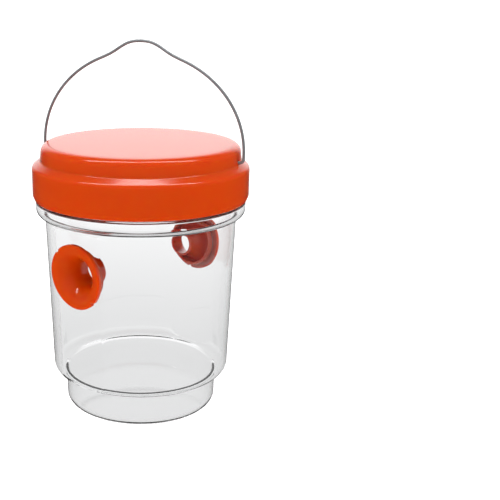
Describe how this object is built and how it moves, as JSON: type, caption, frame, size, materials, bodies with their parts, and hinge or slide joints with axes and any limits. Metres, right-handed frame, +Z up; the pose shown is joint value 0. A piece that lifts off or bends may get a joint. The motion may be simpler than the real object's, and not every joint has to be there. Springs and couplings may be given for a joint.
{
  "type": "wasp trap",
  "caption": "Clear jar-shaped insect trap with a screw lid, funnel entrances set in flats of its wall, and a wire bail to hang it by.",
  "frame": {"origin": "centre of the foot's underside, on the tub's axis", "axes": "+Z up along the tub's axis; the funnels look along -Y (funnel_front) and +Y (funnel_back); the bail stands in a plane 21.5 degrees round from +X"},
  "size_m": [0.12, 0.12, 0.206],
  "materials": {
    "clear_plastic": "clear, smooth moulded",
    "orange_plastic": "smooth moulded, a little translucent",
    "seal_rubber": "soft, matt",
    "steel_wire": "drawn and zinc plated"
  },
  "bodies": {
    "tub": {"tub": "clear_plastic"},
    "seal": {"lid_seal": "seal_rubber"},
    "lid": {"lid": "orange_plastic"},
    "bail": {"bail": "steel_wire"},
    "funnel_front": {"funnel_front": "orange_plastic"},
    "funnel_back": {"funnel_back": "orange_plastic"}
  },
  "joints": [
    {"name": "lid_lift", "type": "slide", "parent": "tub", "child": "seal", "axis": [0, 0, 1], "range_m": [0, 0.0075]},
    {"name": "lid_turn", "type": "hinge", "parent": "seal", "child": "lid", "pos_m": [0, 0, 0.136], "axis": [0, 0, 1], "range_deg": [0, 450]},
    {"name": "bail_swing", "type": "hinge", "parent": "lid", "child": "bail", "pos_m": [0, 0, 0.143], "axis": [0.9304, 0.3665, 0], "range_deg": [-90, 90]},
    {"name": "funnel_front_twist", "type": "hinge", "parent": "tub", "child": "funnel_front", "pos_m": [0, -0.05001, 0.08525], "axis": [0, -0.9993, -0.0366], "continuous": true},
    {"name": "funnel_back_twist", "type": "hinge", "parent": "tub", "child": "funnel_back", "pos_m": [0, 0.05001, 0.08525], "axis": [0, 0.9993, -0.0366], "continuous": true}
  ],
  "couplings": [
    {"joint": "lid_lift", "follows": "lid_turn", "m_per_rad": 0.00095493}
  ]
}
